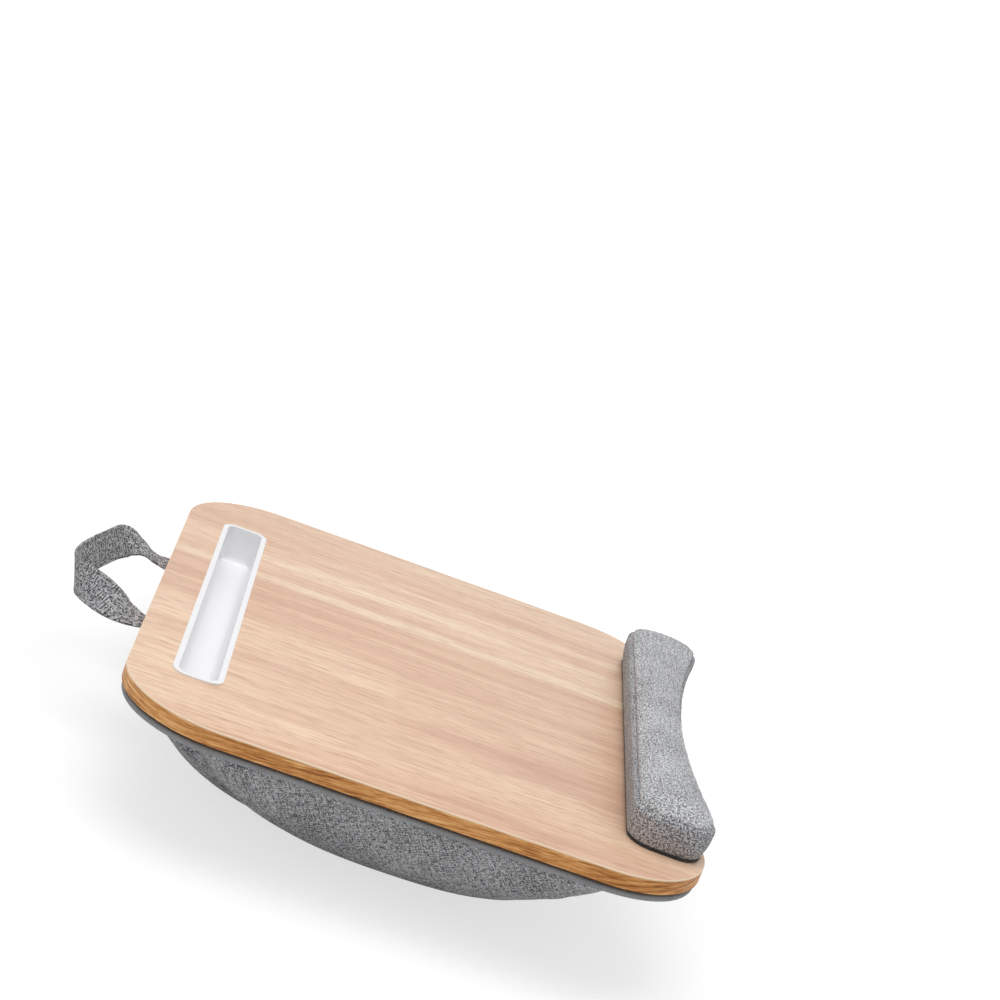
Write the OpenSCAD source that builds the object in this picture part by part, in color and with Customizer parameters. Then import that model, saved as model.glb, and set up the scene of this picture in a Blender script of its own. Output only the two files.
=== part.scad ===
// Cushioned lap desk: a thin wood-grain board with a recessed tray, a wrist rest along the
// front edge, a carry strap at the back and a sewn bolster cushion underneath.
// The front edge faces the user and lies towards -Y, the tray and the strap towards +Y.

/* [Board] */
// Width of the board, side to side
board_w = 430; // [380:5:500]
// Depth of the board, front to back
board_d = 356; // [320:2:400]
// Thickness of the whole board
board_t = 10; // [8:0.5:14]
// Radius of the board's corners
corner_r = 63; // [50:1:75]
// How far the front edge curves in at its middle
front_dip = 16; // [8:1:24]
// Thickness of the wood-grain laminate on top
laminate_t = 0.8; // [0.5:0.1:1.5]
// Thickness of the backing sheet underneath
backing_t = 0.6; // [0.4:0.1:1.5]
// Thickness of the band round the edge
band_t = 1; // [0.6:0.1:2]

/* [Tray] */
// Length of the tray's hollow
tray_l = 296; // [240:2:300]
// Width of the tray's hollow
tray_w = 24; // [18:1:30]
// Depth of the hollow below the board's top face
tray_depth = 25; // [18:1:27]
// Thickness of the tray's walls and floor
tray_wall = 1.5; // [1:0.1:2.5]
// How far the rim reaches past the outside of the walls
rim_lip = 2; // [1.5:0.1:4]
// Thickness of the rim above the board
rim_t = 1.2; // [0.8:0.1:2]
// Corner radius of the hollow, seen from above
tray_corner_r = 6; // [3:0.5:8]
// Radius between the walls and the floor
tray_floor_r = 5; // [2:0.5:8]
// Distance from the board's back edge to the middle of the tray
tray_from_back = 41; // [38:1:50]
// Gap between the tray and the slot that it drops into
slot_gap = 0.4; // [0.2:0.1:1]
// Gap between the tray and the opening in the cushion's base panel
relief_gap = 1; // [0.5:0.1:2]

/* [Cushion] */
// Depth of the cushion from its flat base panel to the crown of its bolsters
crown_depth = 73; // [55:1:90]
// Depth of the seams where the four panels meet in the middle
valley_depth = 28; // [15:1:40]
// Depth of the side panels at their crown
side_depth = 62; // [45:1:80]
// Highest point of the seams that run to the back corners
back_ridge = 68; // [45:1:75]
// Highest point of the seams that run to the front corners
front_ridge = 52; // [40:1:75]
// Distance from the board's front to the seam between the bolsters
seam_from_front = 155; // [140:1:175]
// Length of the seam between the bolsters
seam_l = 168; // [120:2:200]
// Thickness of the cover fabric
cloth_t = 1.2; // [0.8:0.1:2]
// Depth of the flat that the cushion rests on
rest_flat = 0.5; // [0.3:0.1:2]
// Space between the filling and the inside of the cover
filling_gap = 0.3; // [0.2:0.1:1]

/* [Binding] */
// Distance from the board's edge to the outside of the binding
binding_inset = 1.5; // [1:0.5:4]
// Width of the binding tape that shows
binding_w = 12; // [8:0.5:16]
// Thickness of the binding tape
tape_t = 0.6; // [0.4:0.1:1]
// Gap between the cover's edge and the fold of the binding
fold_gap = 0.2; // [0.2:0.1:0.5]

/* [Fastening] */
// Thickness of the hook tape glued to the board
hook_t = 1.3; // [1.2:0.1:2]
// Thickness of the loop tape sewn to the cushion
loop_t = 1.3; // [1.2:0.1:2]
// Length of each strip of hook and loop tape
strip_l = 110; // [60:5:120]
// Width of each strip
strip_w = 25; // [15:1:30]
// Distance from the middle of the board to the middle of a strip, side to side
strip_x = 85; // [70:5:90]
// Distance from the seam between the bolsters to the middle of a strip, front to back
strip_y = 90; // [60:5:95]

/* [Wrist rest] */
// Length of the wrist rest
wrist_l = 342; // [280:2:360]
// Depth of the wrist rest at its ends
wrist_d = 46; // [40:1:56]
// Height of the wrist rest's side band, up to its seam
wrist_side_h = 21.5; // [12:0.5:24]
// Rise of the top panel above that seam
wrist_crown = 7.5; // [4:0.5:12]
// How far the side band swells out
wrist_swell = 3; // [1:0.5:5]
// Radius of the wrist rest's corners
wrist_r = 15; // [10:1:19]
// How far the wrist rest reaches past the board's front edge
wrist_overhang = 4; // [0:0.5:8]
// How far the wrist rest sits turned from square, in degrees
wrist_turn = 3; // [0:0.5:4]
// Thickness of the dark sheet under the wrist rest
wrist_base_t = 1; // [0.6:0.1:2]
// Thickness of the adhesive sheet that holds the wrist rest
adhesive_t = 0.8; // [0.5:0.1:1.5]
// Distance from the wrist rest's edge to the adhesive sheet
adhesive_inset = 4.3; // [3:0.1:6]

/* [Handle] */
// Distance between the two ends of the strap
handle_span = 118; // [90:2:140]
// Width of the strap
strap_w = 22; // [16:1:28]
// Thickness of the strap
strap_t = 1.8; // [1.2:0.1:1.8]
// Length of strap that is held between the board and the cushion
tail_l = 26; // [16:1:40]
// Distance from the board's back edge to the line that the strap bends on
bend_out = 1.6; // [1.4:0.1:3]
// Space between the strap and its tails, where the cloth folds
strap_gap = 0.3; // [0.2:0.1:0.8]
// Space between the strap's tails and the board
tail_gap = 0.1; // [0.1:0.1:0.4]

/* [Hidden] */
$fn = 48;

// An outline shape is [width, depth, corner radius, dip of the front edge]
desk = [board_w, board_d, corner_r, front_dip];
rest = [wrist_l, wrist_d, wrist_r, front_dip];

// Segments of an outline: half a corner, the front run, a side run, the back run
board_steps = [8, 24, 1, 1];
cover_steps = [5, 10, 8, 10];
rest_steps = [3, 12, 2, 12];

// Heights, from the flat that the cushion rests on
base_z = crown_depth - rest_flat;
panel_top_z = base_z + cloth_t;
board_z = panel_top_z + loop_t + hook_t;
top_z = board_z + board_t;
wrist_z = top_z + adhesive_t + wrist_base_t;

// The edge of the cover lies inside the binding and is drawn in from there
cover_inset = binding_inset + tape_t;
cover_start = binding_inset + binding_w;

// Rows of a soft surface, closer together at its edge and at its middle seam
cover_rows = 10;
rest_rows = 4;

// The strap's path from one end to the other: side, out and up from the line that it bends
// on, as a share of the span for the side, and the turn of its face in degrees
strap_path = [
    [0.5, 0, 0, 90], [0.5, 10.5, 0.8, 90], [0.497, 17.5, 4, 62], [0.47, 25.5, 8.5, 22],
    [0.33, 36, 8, 16], [0.15, 45, 5, 21], [-0.05, 51, 2, 20], [-0.24, 48, 3, 12],
    [-0.37, 37, 6, -20], [-0.46, 25, 5.5, -32], [-0.497, 17, 3.5, -62],
    [-0.5, 10.5, 0.6, -90], [-0.5, 0, 0, -90]];
strap_steps = 4;

// Points of an arc round c
function arc(c, r, a, b, n) =
    [for (i = [0:n]) c + r * [cos(a + (b - a) * i / n), sin(a + (b - a) * i / n)]];

// Radius of the large circle that the front edge follows, tangent to both front corners
function dip_radius(s) = (pow(s[0] / 2 - s[2], 2) + s[3] * s[3]) / (2 * s[3]) - s[2];

// Half the angle that the front edge spans on its circle
function dip_angle(s) = asin((s[0] / 2 - s[2]) / (dip_radius(s) + s[2]));

function drop_last(list) = [for (i = [0:len(list) - 2]) list[i]];

// Closed outline of a shape, drawn in by inset, anticlockwise from the middle of the left
// front corner: front run, right run, back run, left run
function outline(s, inset, steps) =
    let (r = s[2] - inset, x = s[0] / 2 - s[2], back = s[1] - s[2], a = dip_angle(s),
         big = dip_radius(s), half = steps[0], side = s[0] / 2 - inset)
    concat(
        drop_last(arc([-x, s[2]], r, 225, 270 + a, half)),
        drop_last(arc([0, s[3] - big], big + inset, 90 + a, 90 - a, steps[1])),
        drop_last(arc([x, s[2]], r, 270 - a, 315, half)),
        drop_last(arc([x, s[2]], r, 315, 360, half)),
        [for (i = [0:steps[2] - 1]) [side, s[2] + (back - s[2]) * i / steps[2]]],
        drop_last(arc([x, back], r, 0, 45, half)),
        drop_last(arc([x, back], r, 45, 90, half)),
        [for (i = [0:steps[3] - 1]) [x - 2 * x * i / steps[3], s[1] - inset]],
        drop_last(arc([-x, back], r, 90, 135, half)),
        drop_last(arc([-x, back], r, 135, 180, half)),
        [for (i = [0:steps[2] - 1]) [-side, back - (back - s[2]) * i / steps[2]]],
        drop_last(arc([-x, s[2]], r, 180, 225, half)));

// Numbers of segments in the front run, a side run and the whole outline
function front_n(steps) = 2 * steps[0] + steps[1];
function side_n(steps) = 2 * steps[0] + steps[2];
function whole_n(steps) = 2 * (front_n(steps) + side_n(steps));

// The middle seam of a soft surface has one point for each point of the front run. Gives
// the seam's point that belongs to point k of the outline.
function seam_point(k, steps) =
    let (f = front_n(steps), s = side_n(steps), i = k % whole_n(steps))
    i <= f ? i : i <= f + s ? f : i <= 2 * f + s ? 2 * f + s - i : 0;

// Place of a point between two corners, from -1 to 1
function share(k, ring, steps) =
    let (f = front_n(steps), s = side_n(steps), n = whole_n(steps), i = k % n,
         right = ring[f], back = ring[f + s])
    i <= f || (i >= f + s && i <= 2 * f + s)
        ? ring[i].x / right.x
        : (2 * ring[i].y - right.y - back.y) / (back.y - right.y);

// Depth of a soft surface along a line from its edge at t = 0 to its middle seam at t = 1.
// It rises to its crown at a share of the way, then falls to the seam's valley. Larger
// powers make the rise or the fall fuller.
function profile(t, crown, at, rise, valley, fall) =
    t < at ? crown * (1 - pow(1 - t / at, rise))
           : valley + (crown - valley) * pow(max(0, 1 - pow((t - at) / (1 - at), 2)), fall);

function front_seam(t) = profile(t, front_ridge, 0.75, 0.85, valley_depth, 1.2);
function back_seam(t) = profile(t, back_ridge, 0.75, 1.3, valley_depth, 0.9);
function front_bolster(t) = profile(t, crown_depth, 0.5, 1.7, valley_depth, 0.6);
function back_bolster(t) = profile(t, crown_depth, 0.56, 2.8, valley_depth, 0.6);
function side_bulge(t) = profile(t, side_depth, 0.6, 2.8, valley_depth, 0.8);

// Depth of the cover below its base panel, at a share u between two corners of one side
function cover_depth(k, t) =
    let (f = front_n(cover_steps), s = side_n(cover_steps), i = k % whole_n(cover_steps),
         u = share(k, cover_ring, cover_steps), puff = pow(max(0, 1 - pow(abs(u), 3)), 0.6))
    i <= f ? front_seam(t) + (front_bolster(t) - front_seam(t)) * puff
    : i >= f + s && i <= 2 * f + s ? back_seam(t) + (back_bolster(t) - back_seam(t)) * puff
    : let (seams = front_seam(t) * (1 - u) / 2 + back_seam(t) * (1 + u) / 2)
      seams + (side_bulge(t) - seams) * puff;

function row_share(i, rows) = (1 - cos(180 * i / rows)) / 2;
function blend(a, b, t) = a * (1 - t) + b * t;
function raise(p, z) = [p.x, p.y, z];

// The cover's edge, where it leaves the binding, and its middle seam
cover_n = whole_n(cover_steps);
cover_flat = outline(desk, cover_inset + fold_gap, cover_steps);
cover_ring = outline(desk, cover_start + fold_gap, cover_steps);
cover_seam = [for (k = [0:front_n(cover_steps)])
    [share(k, cover_ring, cover_steps) * seam_l / 2, seam_from_front]];

// Point of the cover on line k at row i, with its depth lessened by lift
function cover_point(k, i, lift) =
    let (t = row_share(i, cover_rows), m = k % cover_n)
    raise(blend(cover_ring[m], cover_seam[seam_point(m, cover_steps)], t),
          base_z - max(0, cover_depth(m, t) - lift));

// Triangles between two closed rings of n points that start at a and b
function ring_faces(a, b, n) =
    [for (k = [0:n - 1]) let (m = (k + 1) % n)
        each [[a + k, a + m, b + m], [a + k, b + m, b + k]]];

// Triangles between the ring at a and the middle seam whose points start at s
function seam_faces(a, s, steps) =
    let (n = whole_n(steps))
    [for (k = [0:n - 1])
        let (m = (k + 1) % n, p = seam_point(k, steps), q = seam_point(k + 1, steps))
        each p == q ? [[a + k, a + m, s + q]] : [[a + k, a + m, s + q], [a + k, s + q, s + p]]];

function flip(faces) = [for (f = faces) [for (i = [len(f) - 1:-1:0]) f[i]]];
function rings_faces(first, count, n) =
    [for (i = [0:count - 2]) each ring_faces(first + i * n, first + (i + 1) * n, n)];

// Middle line of a flat ring, halfway between its front run and its back run
function middle_line(ring, steps) =
    let (f = front_n(steps), s = side_n(steps))
    [for (k = [0:f]) (ring[k] + ring[2 * f + s - k]) / 2];

// Closed solid with a flat start: rings of points, then its middle seam. The flat is cut
// along its own middle line, because its front curves inwards.
module closed_form(rings, seam, steps, upward) {
    n = whole_n(steps);
    last = len(rings) * n;
    flat_line = middle_line(rings[0], steps);
    faces = concat(flip(seam_faces(0, last + len(seam), steps)),
                   rings_faces(0, len(rings), n), seam_faces(last - n, last, steps));
    polyhedron([for (r = rings) each r, each seam, each flat_line],
               upward ? flip(faces) : faces);
}

// One panel of the cover: the lines from first to last, with a flat edge inside the binding
module cover_panel(first, last, pointed) {
    rows = pointed ? cover_rows : cover_rows + 1;
    n = last - first + 1;
    half = n * (rows + 1) + (pointed ? 1 : 0);
    points = [for (lift = [cloth_t, 0]) each concat(
        [for (k = [first:last]) raise(cover_flat[k % cover_n], base_z - cloth_t + lift)],
        [for (i = [0:rows - 1], k = [first:last]) i == 0
            ? raise(cover_ring[k % cover_n], base_z - cloth_t + lift)
            : cover_point(k, i, lift)],
        pointed ? [cover_point(first, cover_rows, lift)] : [])];
    sheet = concat(
        [for (i = [0:rows - 1], k = [0:n - 2]) let (a = i * n + k, b = a + n)
            each [[a, a + 1, b + 1], [a, b + 1, b]]],
        pointed ? [for (k = [0:n - 2]) [rows * n + k, rows * n + k + 1, rows * n + n]] : []);
    border = concat(
        [for (k = [0:n - 1]) k],
        [for (i = [1:rows]) i * n + n - 1],
        pointed ? [rows * n + n] : [for (k = [n - 2:-1:1]) rows * n + k],
        [for (i = [rows:-1:1]) i * n]);
    wall = [for (k = [0:len(border) - 1]) let (a = border[k], b = border[(k + 1) % len(border)])
        each [[a, b, b + half], [a, b + half, a + half]]];
    below = [for (f = sheet) [for (i = f) i + half]];
    polyhedron(points, concat(flip(sheet), below, wall));
}

// Flat sheet with the outline of a shape
module plate(s, inset, z, t) {
    translate([0, 0, z])
        linear_extrude(t)
            polygon(outline(s, inset, s == desk ? board_steps : rest_steps));
}

// Flat ring between two insets of the board's outline
module edge_ring(outer, inner, z, t) {
    translate([0, 0, z])
        linear_extrude(t)
            difference() {
                polygon(outline(desk, outer, board_steps));
                polygon(outline(desk, inner, board_steps));
            }
}

// Rectangle with round corners, centred
module rounded(l, w, r) {
    square([l - 2 * r, w], center = true);
    square([l, w - 2 * r], center = true);
    for (x = [-1, 1], y = [-1, 1])
        translate([x * (l / 2 - r), y * (w / 2 - r)])
            circle(r);
}

// Trough with a flat top at z = 0, round corners in plan and a rounded floor
module trough(l, w, h, plan_r, floor_r) {
    intersection() {
        translate([0, 0, -h])
            linear_extrude(h)
                rounded(l, w, plan_r);
        rotate([90, 0, 90])
            linear_extrude(l + 2, center = true)
                trough_end(w, h, floor_r);
        rotate([90, 0, 0])
            linear_extrude(w + 2, center = true)
                trough_end(l, h, floor_r);
    }
}

// Section of a trough, open upwards past z = 0
module trough_end(w, h, r) {
    translate([-w / 2 + r, -h])
        square([w - 2 * r, h + 1]);
    translate([-w / 2, -h + r])
        square([w, h - r + 1]);
    for (x = [-1, 1])
        translate([x * (w / 2 - r), -h + r])
            circle(r);
}

// Hole through the board and the cushion's base panel that the tray drops through
module tray_slot(gap, from_z, to_z) {
    translate([0, board_d - tray_from_back, from_z])
        linear_extrude(to_z - from_z)
            rounded(tray_l + 2 * (tray_wall + gap), tray_w + 2 * (tray_wall + gap),
                    tray_corner_r + tray_wall + gap);
}

// Four strips of tape between the board and the cushion
module strips(z, t) {
    for (x = [-1, 1], y = [-1, 1])
        translate([x * strip_x, seam_from_front + y * strip_y, z + t / 2])
            cube([strip_l, strip_w, t], center = true);
}

// Catmull-Rom point between stations b and c
function spline(a, b, c, d, t) =
    (2 * b + (c - a) * t + (2 * a - 5 * b + 4 * c - d) * t * t
     + (3 * b - a - 3 * c + d) * t * t * t) / 2;

// The strap's stations in millimetres, with an extra one past each end
strap_ends = [for (s = strap_path) [s[0] * handle_span, s[1], s[2], s[3]]];
strap_last = len(strap_ends) - 1;
strap_all = concat([2 * strap_ends[0] - strap_ends[1]], strap_ends,
                   [2 * strap_ends[strap_last] - strap_ends[strap_last - 1]]);
strap_line = concat(
    [for (i = [1:strap_last], j = [0:strap_steps - 1])
        spline(strap_all[i - 1], strap_all[i], strap_all[i + 1], strap_all[i + 2],
               j / strap_steps)],
    [strap_ends[strap_last]]);
strap_rings = len(strap_line);

function spot(s) = [s[0], s[1], s[2]];
function unit(v) = v / norm(v);

// Four corners of the strap's section at point i of its line
function strap_section(i) =
    let (run = unit(spot(strap_line[min(i + 1, strap_rings - 1)])
                    - spot(strap_line[max(i - 1, 0)])),
         flat = unit(cross(run, [0, 0, 1])), up = cross(flat, run), a = strap_line[i][3],
         wide = cos(a) * up + sin(a) * flat, thick = cross(run, wide))
    [for (c = [[-1, -1], [1, -1], [1, 1], [-1, 1]])
        spot(strap_line[i]) + c[0] * strap_w / 2 * wide + c[1] * strap_t / 2 * thick];

// The line that the strap bends on, level with its tails
bend = [0, board_d + bend_out, board_z - strap_t / 2 - tail_gap];
strap_points = [for (i = [0:strap_rings - 1]) each [for (p = strap_section(i)) p + bend]];

// Rings of the wrist rest at heights above its base sheet, from the base to the seam. Each
// entry is [share of the side's height, share of the swell].
seam_swell = 0.45;
wrist_sides = [[0, 0], [0.35, 0.8], [0.7, 1], [1, seam_swell]];
function wrist_ring(height, swell) =
    [for (p = outline(rest, -swell, rest_steps)) raise(p, height)];

// Middle line of the wrist rest, halfway between its front and its back
wrist_plan = outline(rest, 0, rest_steps);
wrist_end_x = wrist_l / 2 - wrist_d / 2;
wrist_seam = let (f = front_n(rest_steps), s = side_n(rest_steps))
    [for (k = [0:f]) [share(k, wrist_plan, rest_steps) * wrist_end_x,
                      (wrist_plan[k].y + wrist_plan[2 * f + s - k].y) / 2]];

// Rows of the wrist rest's top, drawn in by cloth. The last row stops just short of the
// middle line.
top_reach = 0.98;
function wrist_top(cloth) =
    let (edge = outline(rest, -seam_swell * wrist_swell + cloth, rest_steps))
    [for (i = [0:rest_rows - 1]) let (t = row_share(i, rest_rows) * top_reach)
        [for (k = [0:len(edge) - 1])
            raise(blend(edge[k], wrist_seam[seam_point(k, rest_steps)], t),
                  wrist_side_h - cloth + wrist_crown * (1 - pow(1 - t, 2.4)))]];
function wrist_top_seam(cloth) =
    [for (p = wrist_seam) raise(p, wrist_side_h - cloth + wrist_crown)];

// Turns and places what belongs to the wrist rest
wrist_mid = [0, wrist_d / 2 - wrist_overhang];
function turned(p) =
    let (q = [p.x, p.y - wrist_d / 2])
    [q.x * cos(wrist_turn) + q.y * sin(wrist_turn),
     -q.x * sin(wrist_turn) + q.y * cos(wrist_turn)] + wrist_mid;
module wrist_place(z) {
    translate([wrist_mid.x, wrist_mid.y, z])
        rotate([0, 0, -wrist_turn])
            translate([0, -wrist_d / 2, 0])
                children();
}

// The origin lies under the middle of the whole desk, strap and wrist rest included
front_y = min([for (p = outline(rest, -wrist_swell, rest_steps)) turned(p).y]);
back_y = max([for (p = strap_points) p.y]);
module placed() {
    translate([0, -(front_y + back_y) / 2, 0])
        children();
}

module board_core() {
    color("burlywood")
        placed()
            difference() {
                plate(desk, band_t, board_z + backing_t, board_t - laminate_t - backing_t);
                tray_slot(slot_gap, board_z, top_z);
            }
}

module top_laminate() {
    color("tan")
        placed()
            difference() {
                plate(desk, 0, top_z - laminate_t, laminate_t);
                tray_slot(slot_gap, board_z, top_z + 1);
            }
}

module base_laminate() {
    color("peru")
        placed()
            difference() {
                plate(desk, band_t, board_z, backing_t);
                tray_slot(slot_gap, board_z - 1, top_z);
            }
}

module edge_band() {
    color("chocolate")
        placed()
            edge_ring(0, band_t, board_z, board_t - laminate_t);
}

module tray_insert() {
    color("white")
        placed()
            translate([0, board_d - tray_from_back, top_z])
                difference() {
                    union() {
                        trough(tray_l + 2 * tray_wall, tray_w + 2 * tray_wall,
                               tray_depth + tray_wall, tray_corner_r + tray_wall,
                               tray_floor_r + tray_wall);
                        linear_extrude(rim_t)
                            rounded(tray_l + 2 * (tray_wall + rim_lip),
                                    tray_w + 2 * (tray_wall + rim_lip),
                                    tray_corner_r + tray_wall + rim_lip);
                    }
                    trough(tray_l, tray_w, tray_depth, tray_corner_r, tray_floor_r);
                    translate([0, 0, -1])
                        linear_extrude(rim_t + 2)
                            rounded(tray_l, tray_w, tray_corner_r);
                }
}

module cushion_base_panel() {
    color("dimgray")
        placed()
            difference() {
                plate(desk, cover_inset, base_z, cloth_t);
                tray_slot(relief_gap, base_z - 1, board_z);
            }
}

// Cuts a soft form flat where the desk stands on it
module cut_flat() {
    difference() {
        children();
        translate([-board_w / 2, -board_d, -10])
            cube([board_w, 3 * board_d, 10]);
    }
}

module cushion_front_panel() {
    color("slategray")
        placed()
            cut_flat()
                cover_panel(0, front_n(cover_steps), false);
}

module cushion_right_panel() {
    color("gray")
        placed()
            cover_panel(front_n(cover_steps), front_n(cover_steps) + side_n(cover_steps), true);
}

module cushion_back_panel() {
    color("slategray")
        placed()
            cut_flat()
                cover_panel(front_n(cover_steps) + side_n(cover_steps),
                            2 * front_n(cover_steps) + side_n(cover_steps), false);
}

module cushion_left_panel() {
    color("gray")
        placed()
            cover_panel(2 * front_n(cover_steps) + side_n(cover_steps), cover_n, true);
}

module cushion_filling() {
    lift = cloth_t + filling_gap;
    first = 1;
    edge = [for (k = [0:cover_n - 1]) raise(cover_point(k, first, lift), base_z)];
    rings = concat([edge], [for (i = [first:cover_rows - 1])
        [for (k = [0:cover_n - 1]) cover_point(k, i, lift)]]);
    seam = [for (k = [0:front_n(cover_steps)]) cover_point(k, cover_rows, lift)];
    color("whitesmoke")
        placed()
            difference() {
                closed_form(rings, seam, cover_steps, false);
                tray_slot(slot_gap, top_z - tray_depth - tray_wall - slot_gap, board_z);
            }
}

module binding_tape() {
    low_z = base_z - cloth_t - tape_t;
    color("dimgray")
        placed() {
            edge_ring(binding_inset, cover_inset, low_z, 2 * (cloth_t + tape_t));
            edge_ring(binding_inset, cover_start, low_z, tape_t);
            edge_ring(binding_inset, cover_start, panel_top_z, tape_t);
        }
}

module hook_strips() {
    color("black")
        placed()
            strips(board_z - hook_t, hook_t);
}

module loop_strips() {
    color("black")
        placed()
            strips(panel_top_z, loop_t);
}

module handle_strap() {
    last = 4 * (strap_rings - 1);
    sides = [for (i = [0:strap_rings - 2], k = [0:3])
        let (a = 4 * i + k, b = 4 * i + (k + 1) % 4)
        each [[a, b, b + 4], [a, b + 4, a + 4]]];
    color("darkgray")
        placed()
            polyhedron(strap_points, flip(
                concat([[3, 2, 1, 0]], sides, [[for (k = [0:3]) last + k]])));
}

module handle_tails() {
    from_y = board_d + bend_out - strap_t / 2 - strap_gap;
    color("darkgray")
        placed()
            for (x = [-0.5, 0.5])
                translate([x * handle_span, from_y - tail_l / 2, bend.z])
                    cube([strap_w, tail_l, strap_t], center = true);
}

module wrist_rest_top_panel() {
    rings = [for (cloth = [0, cloth_t]) each concat(wrist_top(cloth), [wrist_top_seam(cloth)])];
    n = whole_n(rest_steps);
    half = n * rest_rows + len(wrist_seam);
    surface = concat(rings_faces(0, rest_rows, n),
                     seam_faces(n * (rest_rows - 1), n * rest_rows, rest_steps));
    under = [for (f = surface) [for (i = f) i + half]];
    color("silver")
        placed()
            wrist_place(wrist_z)
                polyhedron([for (r = rings) each r],
                           concat(flip(surface), under, ring_faces(0, half, n)));
}

module wrist_rest_side_band() {
    outer = [for (s = wrist_sides) wrist_ring(s[0] * wrist_side_h, s[1] * wrist_swell)];
    inner = [for (i = [len(wrist_sides) - 1:-1:0]) let (s = wrist_sides[i])
        wrist_ring(s[0] * (wrist_side_h - cloth_t), s[1] * wrist_swell - cloth_t)];
    n = whole_n(rest_steps);
    count = 2 * len(wrist_sides);
    faces = [for (i = [0:count - 1]) each ring_faces(i * n, ((i + 1) % count) * n, n)];
    color("silver")
        placed()
            wrist_place(wrist_z)
                polyhedron([for (r = concat(outer, inner)) each r], flip(faces));
}

module wrist_rest_foam() {
    in = cloth_t + filling_gap;
    sides = [for (s = wrist_sides)
        wrist_ring(s[0] * (wrist_side_h - in), s[1] * wrist_swell - in)];
    top = wrist_top(in);
    rings = concat(sides, [for (i = [1:rest_rows - 1]) top[i]]);
    color("khaki")
        placed()
            wrist_place(wrist_z)
                closed_form(rings, wrist_top_seam(in), rest_steps, true);
}

module wrist_rest_base() {
    color("black")
        placed()
            wrist_place(0)
                plate(rest, 0, wrist_z - wrist_base_t, wrist_base_t);
}

// The adhesive reaches no further than the board does
module wrist_rest_adhesive() {
    color("gainsboro")
        placed()
            intersection() {
                wrist_place(0)
                    plate(rest, adhesive_inset, top_z, adhesive_t);
                plate(desk, band_t + 1, top_z, adhesive_t);
            }
}

board_core();
top_laminate();
base_laminate();
edge_band();
tray_insert();
cushion_base_panel();
cushion_back_panel();
cushion_front_panel();
cushion_left_panel();
cushion_right_panel();
cushion_filling();
binding_tape();
hook_strips();
loop_strips();
handle_strap();
handle_tails();
wrist_rest_top_panel();
wrist_rest_side_band();
wrist_rest_foam();
wrist_rest_base();
wrist_rest_adhesive();
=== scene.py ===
# %% [markdown]
# # A cushioned lap desk
# The desk is a thin wood-grain board that stands on a sewn cushion. A white tray is let into the
# board, a padded wrist rest lies along its front edge and a cloth strap makes the handle.
# The model's plain solids are loaded first. They give every piece its place and its size, so
# nothing here is placed by eye: each visible piece is dressed in the frame that the solids set.

import math

import bmesh
import bpy
from mathutils import Matrix, Vector, noise
from mathutils.bvhtree import BVHTree
from mathutils.kdtree import KDTree


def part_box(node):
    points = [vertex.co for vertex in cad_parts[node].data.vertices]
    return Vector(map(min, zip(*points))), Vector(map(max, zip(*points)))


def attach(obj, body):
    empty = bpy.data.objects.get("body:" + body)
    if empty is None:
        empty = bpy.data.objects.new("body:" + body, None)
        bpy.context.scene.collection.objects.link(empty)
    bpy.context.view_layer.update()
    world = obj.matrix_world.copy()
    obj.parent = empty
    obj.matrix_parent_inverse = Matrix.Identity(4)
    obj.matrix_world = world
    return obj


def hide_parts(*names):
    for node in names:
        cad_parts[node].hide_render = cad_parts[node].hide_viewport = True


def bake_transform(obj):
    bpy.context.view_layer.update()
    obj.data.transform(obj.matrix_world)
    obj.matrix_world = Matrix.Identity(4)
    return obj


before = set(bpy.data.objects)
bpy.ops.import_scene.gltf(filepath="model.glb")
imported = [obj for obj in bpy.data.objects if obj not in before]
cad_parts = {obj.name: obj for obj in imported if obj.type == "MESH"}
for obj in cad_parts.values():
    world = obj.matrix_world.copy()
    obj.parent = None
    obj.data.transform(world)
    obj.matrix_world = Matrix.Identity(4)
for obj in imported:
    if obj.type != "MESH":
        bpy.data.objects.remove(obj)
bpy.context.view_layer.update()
MM = 0.001
board_low, board_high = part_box("top_laminate")
back_y = board_high.y
top_z = board_high.z
print("board top at", round(top_z / MM, 1), "mm, back edge at", round(back_y / MM, 1), "mm")

# %% [markdown]
# ## Camera
# The photograph looks along the board from its left end. A camera can be guessed, but here its
# place and its lens were worked out from the board's corners and the tray's rim, so that the
# picture has the same perspective. It is given from the back edge of the board's top face.

# %% Camera
lens = bpy.data.cameras.new("camera")
lens.sensor_width = 36
lens.lens = 85.865
camera = bpy.data.objects.new("camera", lens)
bpy.context.scene.collection.objects.link(camera)
camera.location = (-1.4425, back_y - 0.02815, top_z + 0.4972)
camera.rotation_euler = [math.radians(turn) for turn in (74.483, -20.719, -90.496)]
bpy.context.scene.camera = camera
bpy.context.scene.view_settings.view_transform = "Standard"
print("camera", round((camera.location - Vector((0, 0, top_z))).length, 2), "m away")

# %% [markdown]
# ## Materials from expressions
# A material is a small tree of nodes. Joining nodes by hand takes a line for each link, so one
# class wraps a node's output and turns `1 - mask` or `a * b` into Math nodes. A second class is
# one finish: it makes any other node from its type, its settings and its inputs.

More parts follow.
